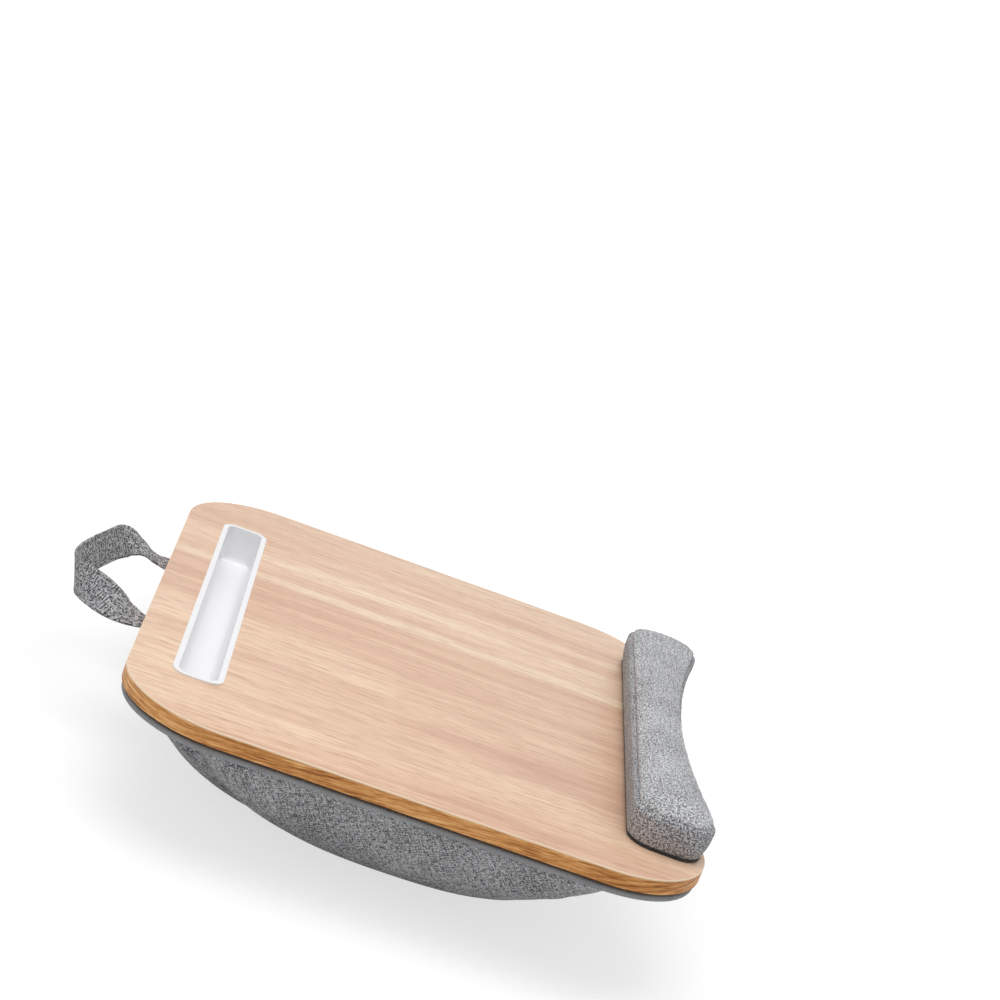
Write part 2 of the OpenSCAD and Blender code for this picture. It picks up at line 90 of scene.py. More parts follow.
# %% Signals and finishes
class Signal:
    """The output of a node, with arithmetic on values."""

    def __init__(self, finish, socket):
        self.finish = finish
        self.socket = socket

    def math(self, operation, first, second=None):
        return self.finish.node("ShaderNodeMath", {"operation": operation}, {0: first, 1: second})

    def __add__(self, other):
        return self.math("ADD", self, other)

    def __radd__(self, other):
        return self.math("ADD", other, self)

    def __sub__(self, other):
        return self.math("SUBTRACT", self, other)

    def __rsub__(self, other):
        return self.math("SUBTRACT", other, self)

    def __mul__(self, other):
        return self.math("MULTIPLY", self, other)

    def __rmul__(self, other):
        return self.math("MULTIPLY", other, self)

    def above(self, edge):
        return self.math("GREATER_THAN", self, edge)

    def sine(self):
        return self.math("SINE", self)

    def size(self):
        return self.math("ABSOLUTE", self)

    def largest(self, other):
        return self.math("MAXIMUM", self, other)


class Finish:
    """The node tree of one material or of the world."""

    def __init__(self, owner):
        owner.use_nodes = True
        self.owner = owner
        self.tree = owner.node_tree
        self.tree.nodes.clear()

    def node(self, kind, settings=None, inputs=None, output=0):
        made = self.tree.nodes.new(kind)
        for name, value in (settings or {}).items():
            if name == "stops":
                self.set_stops(made.color_ramp, value)
            else:
                setattr(made, name, value)
        for name, value in (inputs or {}).items():
            if isinstance(value, Signal):
                self.tree.links.new(value.socket, made.inputs[name])
            elif value is not None:
                made.inputs[name].default_value = value
        return Signal(self, made.outputs[output] if len(made.outputs) else None)

    def set_stops(self, ramp, stops):
        while len(ramp.elements) < len(stops):
            ramp.elements.new(0.5)
        for element, (place, color) in zip(ramp.elements, stops):
            element.position = place
            element.color = (*color, 1) if isinstance(color, tuple) else (color, color, color, 1)

    def ramp(self, value, *stops):
        return self.node("ShaderNodeValToRGB", {"stops": stops}, {"Fac": value}, "Color")

    def mix(self, share, first, second, blend="MIX"):
        return self.node("ShaderNodeMix", {"data_type": "RGBA", "blend_type": blend},
                         {0: share, 6: first, 7: second}, 2)

    def object_place(self):
        return self.node("ShaderNodeTexCoord", output="Object")

    def cloth_place(self):
        return self.node("ShaderNodeUVMap", {"uv_map": "cloth"})

    def stretch(self, vector, scale, turn=0):
        return self.node("ShaderNodeMapping", None,
                         {"Vector": vector, "Scale": scale, "Rotation": (0, 0, math.radians(turn))})

    def tilt(self, vector, turn):
        lean = math.radians(turn)
        return self.node("ShaderNodeMapping", None, {"Vector": vector, "Rotation": (lean, lean, 0)})

    def part(self, vector, axis):
        return self.node("ShaderNodeSeparateXYZ", None, {"Vector": vector}, axis)

    def grain(self, vector, scale=1.0, detail=2.0, rough=0.5, warp=0.0):
        return self.node("ShaderNodeTexNoise", None,
                         {"Vector": vector, "Scale": scale, "Detail": detail,
                          "Roughness": rough, "Distortion": warp})

    def surface(self, color, rough, height=None, depth=0.0, **fixed):
        inputs = {"Base Color": color, "Roughness": rough}
        inputs.update({name.replace("_", " "): value for name, value in fixed.items()})
        if height is not None:
            inputs["Normal"] = self.node("ShaderNodeBump", None,
                                         {"Height": height, "Distance": depth, "Strength": 1.0})
        shader = self.node("ShaderNodeBsdfPrincipled", None, inputs)
        self.node("ShaderNodeOutputMaterial", None, {"Surface": shader})
        return self.owner


def finish(name):
    return Finish(bpy.data.materials.new(name))


# %% [markdown]
# ## Light, floor and backdrop
# A product picture of this kind is lit softly from above on plain white. The room's even light
# does most of the work, and one large lamp overhead makes the top face brighter than the sides.
# The floor is real, so that it keeps the shadow, and the camera sees it near white.

# %% Room, lamp and floor
room = Finish(bpy.data.worlds.new("room"))
bpy.context.scene.world = room.owner


def seen_share(paint):
    rays = [paint.node("ShaderNodeLightPath", output=name)
            for name in ("Is Camera Ray", "Is Glossy Ray", "Is Transmission Ray")]
    return rays[0].largest(rays[1]).largest(rays[2])


sky_color = room.mix(seen_share(room), (0.46, 0.46, 0.46, 1), (1, 1, 1, 1))
sky = room.node("ShaderNodeBackground", None, {"Color": sky_color, "Strength": 1.0})
room.node("ShaderNodeOutputWorld", None, {"Surface": sky})

lamp_data = bpy.data.lights.new("overhead", "AREA")
lamp_data.shape = "RECTANGLE"
lamp_data.size = 1.6
lamp_data.size_y = 1.6
lamp_data.energy = 26
lamp = bpy.data.objects.new("overhead", lamp_data)
bpy.context.scene.collection.objects.link(lamp)
lamp.location = (-0.35, 0.25, 2.1)
lamp.rotation_euler = (Vector((0, 0, 0.05)) - lamp.location).to_track_quat("-Z", "Y").to_euler()

floor_mesh = bmesh.new()
bmesh.ops.create_grid(floor_mesh, x_segments=1, y_segments=1, size=40)
floor_data = bpy.data.meshes.new("floor")
floor_mesh.to_mesh(floor_data)
floor_mesh.free()
floor = bpy.data.objects.new("floor", floor_data)
bpy.context.scene.collection.objects.link(floor)
paint = finish("floor")
away = paint.node("ShaderNodeVectorMath", {"operation": "LENGTH"}, {0: paint.object_place()}, "Value")
clear = 0.55 + paint.ramp(away, (0.25, 0.0), (0.8, 1.0)) * 0.45
bare = paint.node("ShaderNodeBsdfDiffuse", None, {"Color": (0.86, 0.86, 0.86, 1)})
glow = paint.node("ShaderNodeEmission", None, {"Color": (1, 1, 1, 1), "Strength": 1.25})
both = paint.node("ShaderNodeMixShader", None, {0: seen_share(paint) * clear, 1: bare, 2: glow})
paint.node("ShaderNodeOutputMaterial", None, {"Surface": both})
floor_data.materials.append(paint.owner)

# %% [markdown]
# ## Wood grain
# The board is covered with a printed laminate: straight streaks that run from the tray to the
# wrist rest, pinkish tan with a few yellow bands and fine dark pores. An image would be the usual
# way. Noise that is stretched along the grain gives the same streaks at any size, and several
# layers of it, from broad bands to hair-thin pores, keep them from looking even.

# %% Top laminate
def wood_top():
    paint = finish("wood_top")
    place = paint.object_place()
    broad = paint.grain(paint.stretch(place, (15, 1.4, 1)), 1.0, 2.0, 0.5, 0.5)
    streak = paint.grain(paint.stretch(place, (78, 5.5, 1)), 1.0, 3.0, 0.6, 0.5)
    cream = paint.grain(paint.stretch(place, (24, 0.8, 1)), 1.0, 2.0, 0.5, 0.4)
    pores = paint.grain(paint.stretch(place, (560, 26, 1)), 1.0, 2.0, 0.5, 0.3)
    fleck = paint.grain(paint.stretch(place, (900, 80, 1)), 1.0, 1.0)
    tone = broad * 0.5 + streak * 0.42 + pores * 0.08
    color = paint.ramp(tone, (0.34, (0.63, 0.37, 0.25)), (0.44, (0.75, 0.475, 0.335)),
                       (0.52, (0.83, 0.565, 0.40)), (0.62, (0.91, 0.68, 0.49)),
                       (0.72, (0.96, 0.77, 0.57)))
    color = paint.mix(paint.ramp(cream, (0.59, 0.0), (0.72, 0.65)), color, (0.97, 0.79, 0.57, 1))
    color = paint.mix(paint.ramp(pores, (0.34, 0.6), (0.5, 0.0)), color, (0.62, 0.37, 0.23, 1))
    color = paint.mix(paint.ramp(fleck, (0.3, 0.35), (0.46, 0.0)), color, (0.45, 0.25, 0.15, 1))
    # Painted highlight: the rounded top arris, just below the flat top face, is paled to a light
    # line.
    edge = paint.part(place, "Z")
    arris_highlight = (top_z - 0.00006 - edge) * 100000
    color = paint.mix(paint.ramp(arris_highlight, (0.0, 0.0), (1.0, 1.0)), color, (0.95, 0.75, 0.55, 1))
    rough = 0.36 + streak * 0.14
    return paint.surface(color, rough, pores * 0.6 + streak * 0.4, 0.00004,
                         Specular_IOR_Level=0.42)


# %% [markdown]
# ## Edge grain
# The edge shows short slanting streaks, darker and more orange than the top. They run along the
# edge all the way round, so the noise is coarse in both level directions and very fine in height.

# %% Edge band
band_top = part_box("edge_band")[1].z


def wood_edge():
    paint = finish("wood_edge")
    place = paint.object_place()
    slant = paint.tilt(place, 4)
    drift = paint.grain(paint.stretch(place, (9, 9, 60)), 1.0, 1.0)
    layers = paint.grain(paint.stretch(slant, (38, 38, 760)), 1.0, 3.0, 0.6, 0.6)
    fine = paint.grain(paint.stretch(slant, (150, 150, 2400)), 1.0, 2.0, 0.6)
    tone = layers * 0.56 + fine * 0.3 + drift * 0.14
    color = paint.ramp(tone, (0.36, (0.24, 0.075, 0.016)), (0.45, (0.52, 0.205, 0.05)),
                       (0.53, (0.76, 0.36, 0.115)), (0.62, (0.93, 0.56, 0.24)))
    # Painted highlight: the top 0.7 mm of the edge band, under the laminate, is paled to carry on the
    # top arris's light line.
    arris_highlight = (paint.part(place, "Z") - band_top) * 1000 + 0.7
    color = paint.mix(paint.ramp(arris_highlight, (0.0, 0.0), (0.5, 0.8)), color, (0.93, 0.70, 0.47, 1))
    rough = 0.42 + fine * 0.16
    return paint.surface(color, rough, layers * 0.5 + fine * 0.5, 0.00005,
                         Specular_IOR_Level=0.25)


# %% [markdown]
# ## Heathered cloth
# The cushion, the wrist rest and the handle have the same cloth: a plain weave of slubby yarns,
# some light and some dark, which reads as a fine cross-hatch from afar. The yarns follow the
# cloth, so the pattern lies on each panel's own cut shape, laid flat in metres. Each direction of
# yarn has its own long, thin noise, and a checker of the crossings picks which one is on top.

# %% Cloth
def heather(name, dark, light, pitch=0.00085, turn=0, contrast=1.0, run=0.16, slubs=0.5):
    paint = finish(name)
    place = paint.stretch(paint.cloth_place(), (1, 1, 1), turn)
    across = paint.part(place, "X")
    along = paint.part(place, "Y")
    warp_wave = (across * (math.pi / pitch)).sine()
    weft_wave = (along * (math.pi / pitch)).sine()
    over = paint.ramp(warp_wave * weft_wave * 2 + 0.5, (0.2, 0.0), (0.8, 1.0))
    warp = paint.grain(paint.stretch(place, (1 / pitch, run / pitch, 1)), 1.0, 1.0, 0.6)
    weft = paint.grain(paint.stretch(place, (run / pitch, 1 / pitch, 1)), 1.0, 1.0, 0.6)
    slub = paint.grain(paint.stretch(place, (0.035 / pitch, 0.5 / pitch, 1)), 1.0, 2.0, 0.6)
    slub_warp = paint.grain(paint.stretch(place, (0.5 / pitch, 0.035 / pitch, 1)), 1.0, 2.0, 0.6)
    mist = paint.grain(place, 26, 2.0)
    yarn = weft + (warp - weft) * over
    uneven = (slub + slub_warp - 1.0) * slubs
    tone = yarn * contrast + uneven + (mist - 0.5) * 0.22 + 0.5 * (1 - contrast)
    color = paint.ramp(tone, (0.30, dark), (0.5, tuple((a + b) / 2.1 for a, b in zip(dark, light))),
                       (0.70, light))
    relief = over * warp_wave.size() + (1 - over) * weft_wave.size()
    # Painted shade: where the relief is low, in the hollows between yarns, the colour is mixed
    # towards the dark yarn.
    color = paint.mix(paint.ramp(relief, (0.0, 0.45), (0.5, 0.0)), color, (*dark, 1))
    rough = 0.86 + 0.1 * mist
    return paint.surface(color, rough, relief + yarn * 0.5, 0.00022, Sheen_Weight=0.12,
                         Sheen_Roughness=0.6, Specular_IOR_Level=0.2)


def ribbed(name, color_low, color_high, pitch):
    paint = finish(name)
    place = paint.cloth_place()
    run = paint.part(place, "X")
    rib = (run * (2 * math.pi / pitch)).sine()
    fuzz = paint.grain(paint.stretch(place, (1500, 500, 1)), 1.0, 2.0)
    worn = paint.grain(paint.stretch(place, (60, 200, 1)), 1.0, 2.0)
    tone = rib * 0.06 + fuzz * 0.5 + worn * 0.35
    color = paint.ramp(tone, (0.2, color_low), (0.72, color_high))
    return paint.surface(color, 0.8, rib * 0.4 + fuzz * 0.3, 0.00014, Sheen_Weight=0.1,
                         Specular_IOR_Level=0.25)


# %% [markdown]
# ## Smaller finishes
# The tray is glossy moulded plastic, with a faint haze so that it isn't a mirror. What lies under
# the board is plain, but it still gets its own finish, because the part may be taken apart.

# %% Plastic, thread and hidden materials
def speckled(name, low, high, scale, rough, depth=0.0001, **fixed):
    paint = finish(name)
    place = paint.object_place()
    fine = paint.grain(place, scale, 3.0, 0.6)
    color = paint.ramp(fine, (0.3, low), (0.7, high))
    return paint.surface(color, rough + 0.08 * (fine - 0.5), fine, depth, **fixed)


finishes = {
    "wood_top": wood_top(),
    "wood_edge": wood_edge(),
    "panel": heather("cushion_cloth", (0.065, 0.066, 0.07), (0.74, 0.74, 0.76), contrast=1.5,
                     run=0.22),
    "side": heather("cushion_cloth_bias", (0.065, 0.066, 0.07), (0.74, 0.74, 0.76), turn=45,
                    contrast=1.6, run=0.28, slubs=0.4),
    # Painted light: the wrist rest's top panel gets a lighter copy of its cloth, as if lit from
    # above.
    "wrist": heather("wrist_cloth", (0.15, 0.151, 0.157), (0.95, 0.96, 0.99), 0.00095,
                     contrast=1.7, run=0.5, slubs=0.3),
    # Painted shade: the side band gets a darker copy of the same cloth, as if shaded.
    "wrist_side": heather("wrist_side_cloth", (0.10, 0.101, 0.106), (0.72, 0.73, 0.77), 0.00095,
                          contrast=1.7, run=0.5, slubs=0.3),
    "strap": heather("strap_cloth", (0.045, 0.045, 0.048), (0.66, 0.66, 0.68), 0.0011,
                     contrast=2.0, run=0.3, slubs=0.3),
    "binding": ribbed("binding_ribbon", (0.20, 0.205, 0.215), (0.45, 0.455, 0.47), 0.0011),
    "tray": speckled("tray_plastic", (0.90, 0.90, 0.915), (0.92, 0.92, 0.935), 900, 0.32, 0.000004,
                     Coat_Weight=0.15, Coat_Roughness=0.2),
    "thread": speckled("pale_thread", (0.55, 0.56, 0.58), (0.75, 0.76, 0.78), 4000, 0.7),
    "grey_thread": speckled("grey_thread", (0.16, 0.165, 0.175), (0.3, 0.3, 0.31), 4000, 0.75),
    "black": speckled("black_sheet", (0.012, 0.012, 0.013), (0.03, 0.03, 0.031), 1500, 0.7),
    "core": speckled("fibreboard", (0.42, 0.29, 0.17), (0.62, 0.46, 0.30), 700, 0.8),
    "backing": speckled("backing_sheet", (0.40, 0.25, 0.15), (0.50, 0.33, 0.21), 300, 0.55),
    "lining": speckled("lining_cloth", (0.10, 0.10, 0.105), (0.16, 0.16, 0.165), 1500, 0.9),
    "hooks": speckled("hook_tape", (0.012, 0.012, 0.012), (0.05, 0.05, 0.05), 2500, 0.6, 0.0004),
    "loops": speckled("loop_tape", (0.02, 0.02, 0.02), (0.07, 0.07, 0.07), 1800, 0.95, 0.0004),
    "fibre": speckled("fibre_filling", (0.7, 0.7, 0.69), (0.86, 0.86, 0.85), 300, 0.95, 0.0008),
    "foam": speckled("foam", (0.66, 0.6, 0.4), (0.82, 0.77, 0.57), 1400, 0.95, 0.0005),
    "adhesive": speckled("adhesive_sheet", (0.7, 0.7, 0.7), (0.8, 0.8, 0.8), 600, 0.5),
}
print(len(finishes), "finishes")

# %% [markdown]
# ## Pieces from the solids
# A rigid piece keeps its solid's shape, but a real edge is never sharp. A copy of the solid is
# merged and its flat faces are joined, the board's outer edges are bevelled, and the copy stands for
# the solid.

# %% Helpers for pieces
def solid_copy(node, flat=True):
    shape = bmesh.new()
    shape.from_mesh(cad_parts[node].data)
    bmesh.ops.remove_doubles(shape, verts=shape.verts, dist=0.00001)
    if flat:
        bmesh.ops.dissolve_limit(shape, angle_limit=math.radians(0.4), verts=shape.verts,
                                 edges=shape.edges)
    return shape


def add_piece(name, shape, coat, nodes=(), body="root", sharp=35):
    mesh = bpy.data.meshes.new(name)
    shape.to_mesh(mesh)
    shape.free()
    mesh.shade_smooth()
    if sharp:
        mesh.set_sharp_from_angle(angle=math.radians(sharp))
    made = bpy.data.objects.new(name, mesh)
    bpy.context.scene.collection.objects.link(made)
    mesh.materials.append(finishes[coat])
    if body:
        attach(made, body)
    if nodes:
        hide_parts(*nodes)
    return made


def round_edges(shape, chosen, width, segments=3):
    bmesh.ops.bevel(shape, geom=chosen, offset=width, offset_type="OFFSET", affect="EDGES",
                    segments=segments, profile=0.5, material=-1, clamp_overlap=True)


SLOT_X = 160 * MM
SLOT_Y = (90 * MM, 135 * MM)


def outer_edges(shape, level):
    """Sharp edges of the board's outline at one height, without those of the tray's slot."""
    return [e for e in shape.edges
            if all(abs(v.co.z - level) < 0.02 * MM for v in e.verts)
            and len(e.link_faces) == 2 and e.calc_face_angle() > 1.0
            and not all(abs(v.co.x) < SLOT_X and SLOT_Y[0] < v.co.y < SLOT_Y[1]
                        for v in e.verts)]


# %% Board
laminate = solid_copy("top_laminate")
round_edges(laminate, outer_edges(laminate, top_z), 0.0006)
add_piece("board_top", laminate, "wood_top", ["top_laminate"])
band = solid_copy("edge_band")
round_edges(band, outer_edges(band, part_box("edge_band")[0].z), 0.0006)
add_piece("board_edge", band, "wood_edge", ["edge_band"])

# %% Tray
add_piece("tray", solid_copy("tray_insert"), "tray", ["tray_insert"], sharp=6)

# %% [markdown]
# ## Sewn covers
# The cushion's cover is four panels sewn along their edges, and its rim is held in a binding.
# It could be sculpted, but a sewn cover gets its look from how it is made: the panels are cut
# flat, their seams hold them in, and the filling pushes out between them. So the outer faces of
# the plain panels are joined into one skin, laid out flat for the weave, and then blown up a
# little as cloth with the rim and the seams held. Each face keeps the number of its panel.

# %% Helpers for sewn covers
def join_skin(nodes, is_outer):
    skin = bmesh.new()
    for number, node in enumerate(nodes):
        shell = solid_copy(node, flat=False)
        test = is_outer(shell)
        bmesh.ops.delete(shell, geom=[f for f in shell.faces if not test(f)], context="FACES")
        for face in shell.faces:
            face.material_index = number
        part = bpy.data.meshes.new("part")
        shell.to_mesh(part)
        shell.free()
        skin.from_mesh(part)
        bpy.data.meshes.remove(part)
    bmesh.ops.remove_doubles(skin, verts=skin.verts, dist=0.0001)
    bmesh.ops.join_triangles(skin, faces=skin.faces, cmp_seam=False, cmp_sharp=False,
                             cmp_uvs=False, cmp_vcols=False, cmp_materials=True,
                             angle_face_threshold=1.2, angle_shape_threshold=2.2)
    crease = skin.edges.layers.float.new("crease_edge")
    for edge in skin.edges:
        edge.seam = is_sewn(edge)
        edge[crease] = 0.85 if edge.seam else 0.0
    return skin


def is_sewn(edge):
    return len(edge.link_faces) == 2 and (edge.link_faces[0].material_index
                                          != edge.link_faces[1].material_index)


def lay_flat(made, panel_axes):
    """Unwraps each panel and lays it out in metres, with its first axis along the given one."""
    bpy.context.view_layer.objects.active = made
    made.select_set(True)
    while made.data.uv_layers:
        made.data.uv_layers.remove(made.data.uv_layers[0])
    made.data.uv_layers.new(name="cloth")
    bpy.ops.object.mode_set(mode="EDIT")
    bpy.ops.mesh.select_all(action="SELECT")
    bpy.ops.uv.unwrap(method="ANGLE_BASED", margin=0.0)
    bpy.ops.object.mode_set(mode="OBJECT")
    made.select_set(False)
    mesh = made.data
    layer = mesh.uv_layers["cloth"].data
    for number, axis in enumerate(panel_axes):
        faces = [f for f in mesh.polygons if f.material_index == number]
        real = sum(f.area for f in faces)
        drawn = 0.0
        pull = [0.0, 0.0]
        for face in faces:
            spots = [layer[i].uv.copy() for i in face.loop_indices]
            points = [mesh.vertices[mesh.loops[i].vertex_index].co for i in face.loop_indices]
            drawn += abs(sum(p.cross(q) for p, q in zip(spots, spots[1:] + spots[:1]))) / 2
            for p, q, u, v in zip(points, points[1:], spots, spots[1:]):
                step = (v - u)
                pull[0] += step.x * (q - p).dot(axis)
                pull[1] += step.y * (q - p).dot(axis)
        scale = math.sqrt(real / drawn)
        turn = math.atan2(pull[1], pull[0])
        c, s = math.cos(turn) * scale, math.sin(turn) * scale
        for face in faces:
            for i in face.loop_indices:
                u, v = layer[i].uv
                layer[i].uv = (u * c + v * s, v * c - u * s)


def rest_object(name, shape):
    mesh = bpy.data.meshes.new(name)
    shape.to_mesh(mesh)
    shape.free()
    made = bpy.data.objects.new(name, mesh)
    bpy.context.scene.collection.objects.link(made)
    return made


def bake_modifiers(made):
    """Replaces a scratch object's mesh by what its modifiers make of it."""
    bpy.context.view_layer.update()
    shown = made.evaluated_get(bpy.context.evaluated_depsgraph_get())
    mesh = bpy.data.meshes.new_from_object(shown)
    made.modifiers.clear()
    made.data = mesh


def subdivide(made, levels):
    divide = made.modifiers.new("divide", "SUBSURF")
    divide.levels = levels
    divide.render_levels = levels
    divide.boundary_smooth = "PRESERVE_CORNERS"
    bake_modifiers(made)


def blow_up(made, holds, pressure, spare, cap, frames=20, bending=0.5, tension=15):
    """Runs the cloth, then moves each point by what it moved, up to the cap."""
    group = made.vertex_groups.new(name="held")
    for index, weight in enumerate(holds):
        if weight > 0:
            group.add([index], weight, "REPLACE")
    cloth = made.modifiers.new("cloth", "CLOTH")
    settings = cloth.settings
    settings.quality = 6
    settings.tension_stiffness = tension
    settings.compression_stiffness = tension
    settings.shear_stiffness = 5
    settings.bending_stiffness = bending
    settings.vertex_group_mass = "held"
    settings.shrink_min = -spare
    settings.use_pressure = True
    settings.uniform_pressure_force = pressure
    settings.effector_weights.gravity = 0
    cloth.collision_settings.use_collision = False
    cloth.point_cache.frame_start = 1
    cloth.point_cache.frame_end = frames
    for number in range(1, frames + 1):
        bpy.context.scene.frame_set(number)
    shown = made.evaluated_get(bpy.context.evaluated_depsgraph_get())
    moved = [v.co.copy() for v in shown.data.vertices]
    made.modifiers.remove(cloth)
    furthest = 0.0
    for vertex, goal in zip(made.data.vertices, moved):
        step = goal - vertex.co
        furthest = max(furthest, step.length)
        if step.length > cap:
            step *= cap / step.length
        vertex.co += step
    bpy.context.scene.frame_set(1)
    print(made.name, "moved up to", round(furthest / MM, 1), "mm")


# %% The cushion's skin
PANELS = ["cushion_front_panel", "cushion_right_panel", "cushion_back_panel", "cushion_left_panel"]
cover = rest_object("cover_skin", join_skin(PANELS, lambda shell: lambda f: f.normal.z < -0.001))
lay_flat(cover, [Vector((1, 0, 0)), Vector((0, 1, 0)), Vector((1, 0, 0)), Vector((0, 1, 0))])
print("cover skin", len(cover.data.polygons), "faces")
# %% Blow up the cover
subdivide(cover, 2)


def borders(mesh):
    """Points of the open rim and of the sewn seams."""
    shape = bmesh.new()
    shape.from_mesh(mesh)
    rim = {v.index for e in shape.edges if e.is_boundary for v in e.verts}
    sewn = {v.index for e in shape.edges if is_sewn(e) for v in e.verts}
    shape.free()
    return rim, sewn


def held_weights(mesh, rim_reach, seam_weight):
    """1 on the flat rim, seam_weight on the seams and 0 elsewhere."""
    rim, sewn = borders(mesh)
    weights = []
    for vertex in mesh.vertices:
        if vertex.index in rim or rim_reach(vertex.co):
            weights.append(1.0)
        else:
            weights.append(seam_weight if vertex.index in sewn else 0.0)
    return weights


rim_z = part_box("cushion_front_panel")[1].z - 1.5 * MM
blow_up(cover, held_weights(cover.data, lambda co: co.z > rim_z, 0.9),
        pressure=4.0, spare=0.02, cap=5 * MM)
subdivide(cover, 1)
for vertex in cover.data.vertices:
    vertex.co.z = max(vertex.co.z, 0.3 * MM)
print("cover", len(cover.data.polygons), "faces")

# %% [markdown]
# ## Seams and gathers
# A seam pulls the cloth in to a narrow groove, with a soft roll on each side of it, and small
# gathers run out from it where more cloth is sewn than the line is long. They are made after the
# cloth has settled: each point near a seam moves in or out along its own normal, by its distance
# to the seam and by a noise that is read at the nearest point of the seam, so that each gather
# runs straight away from it.

# %% Helpers for seams
def seam_tree(points):
    tree = KDTree(len(points))
    for number, point in enumerate(points):
        tree.insert(point, number)
    tree.balance()
    return tree


def sew_in(made, points, groove, width, roll, gathers, reach, pitch, seed):
    """Draws in a groove along the points, with gathers across it."""
    tree = seam_tree(points)
    mesh = made.data
    normals = [v.normal.copy() for v in mesh.vertices]
    for vertex, normal in zip(mesh.vertices, normals):
        nearest, _, away = tree.find(vertex.co)
        if away > 4 * reach:
            continue
        wave = noise.noise(nearest / pitch + Vector((seed, 0, 0)))
        wave += 0.5 * noise.noise(nearest / (0.45 * pitch) + Vector((0, seed, 0)))
        lift = -groove * math.exp(-(away / width) ** 2)
        lift += roll * math.exp(-((away - 2.6 * width) / (1.6 * width)) ** 2)
        lift += gathers * wave * math.exp(-away / reach) * min(1.0, away / width)
        vertex.co += normal * lift


# %% Cushion seams
rim, sewn = borders(cover.data)
seam_points = [cover.data.vertices[i].co.copy() for i in sewn if cover.data.vertices[i].co.z < rim_z]
rim_points = [v.co.copy() for v in cover.data.vertices if rim_z - 1.2 * MM < v.co.z < rim_z]
sew_in(cover, seam_points, 1.6 * MM, 2.0 * MM, 0.5 * MM, 0.9 * MM, 9 * MM, 7 * MM, 3.0)
sew_in(cover, rim_points, 0.2 * MM, 2.5 * MM, 0.2 * MM, 0.8 * MM, 10 * MM, 9 * MM, 8.0)


# %% Split the cover into its panels
def split_skin(made, names, nodes, coats, slots, thickness):
    for number, (name, node, coat, slot) in enumerate(zip(names, nodes, coats, slots)):
        shape = bmesh.new()
        shape.from_mesh(made.data)
        bmesh.ops.delete(shape, geom=[f for f in shape.faces if f.material_index != number],
                         context="FACES")
        for face in shape.faces:
            face.material_index = 0
        panel = add_piece(name, shape, coat, [node], sharp=0)
        wall = panel.modifiers.new("wall", "SOLIDIFY")
        wall.thickness = thickness
        wall.offset = -1
        print(name, len(panel.data.polygons), "faces")
    bpy.data.objects.remove(made)


split_skin(cover, ["front_panel", "right_panel", "back_panel", "left_panel"], PANELS,
           ["panel", "side", "panel", "side"],
           ["cover_cloth", "side_cloth", "cover_cloth", "side_cloth"], 1.0 * MM)

# %% [markdown]
# ## Filling
# The filling never shows while the cover is on. The plain solid fills the cover to its wall, and
# the drawn-in seams would cut into it, so a slightly smaller copy stands for it. It shrinks
# towards the middle of its flat side, and the hollow that takes the tray stays where it is.

# %% Filling and foam
def shrunk_copy(name, node, coat, flat_z, level_share, height_share, keeps=lambda co: False):
    low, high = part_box(node)
    middle = Vector(((low.x + high.x) / 2, (low.y + high.y) / 2, flat_z))
    shape = solid_copy(node, flat=False)
    for vertex in shape.verts:
        if not keeps(vertex.co):
            away = vertex.co - middle
            vertex.co = middle + Vector((away.x * level_share, away.y * level_share,
                                         away.z * height_share))
    made = add_piece(name, shape, coat, [node], sharp=50)


tray_low, tray_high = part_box("tray_insert")
HOLLOW = 5 * MM


def in_hollow(co):
    return (abs(co.x) < tray_high.x + HOLLOW and co.z > tray_low.z - HOLLOW
            and tray_low.y - HOLLOW < co.y < tray_high.y + HOLLOW)


shrunk_copy("filling", "cushion_filling", "fibre",
            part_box("cushion_filling")[1].z, 0.96, 0.82, in_hollow)

# %% [markdown]
# ## Strips of cloth
# A binding or a strap is a flat section that is carried along a line. A curve with a bevel would
# twist by its own rules, so the sections are placed one by one and each is bridged to the next.
# Their distance along the line and round the section is kept as the cloth's own coordinates.

# %% Sweep a section along a line
def sweep(sections, closed):
    """Bridges closed sections, each a list of points, into one strip."""
    strip = bmesh.new()
    rings = []
    for section in sections:
        verts = [strip.verts.new(point) for point in section]
        edges = [strip.edges.new((v, w)) for v, w in zip(verts, verts[1:] + verts[:1])]
        rings.append((verts, edges))
    pairs = list(zip(rings, rings[1:] + rings[:1])) if closed else list(zip(rings, rings[1:]))
    for (_, first), (_, second) in pairs:
        bmesh.ops.bridge_loops(strip, edges=first + second)
    if not closed:
        strip.faces.new(rings[0][0])
        strip.faces.new(rings[-1][0])
    bmesh.ops.recalc_face_normals(strip, faces=strip.faces)
    count = len(sections[0])
    runs = [0.0]
    for first, second in zip(sections, sections[1:] + sections[:1]):
        middle = sum(((q - p) for p, q in zip(first, second)), Vector()) / count
        runs.append(runs[-1] + middle.length)
    rounds = [0.0]
    for p, q in zip(sections[0], sections[0][1:] + sections[0][:1]):
        rounds.append(rounds[-1] + (q - p).length)
    strip.verts.index_update()
    layer = strip.loops.layers.uv.new("cloth")
    for face in strip.faces:
        rows = [loop.vert.index // count for loop in face.loops]
        turns = [loop.vert.index % count for loop in face.loops]
        for loop, row, turn in zip(face.loops, rows, turns):
            row += len(sections) if closed and row == 0 and max(rows) > 1 else 0
            turn += count if turn == 0 and max(turns) > count / 2 and len(face.verts) == 4 else 0
            loop[layer].uv = (runs[row], rounds[turn])
    return strip


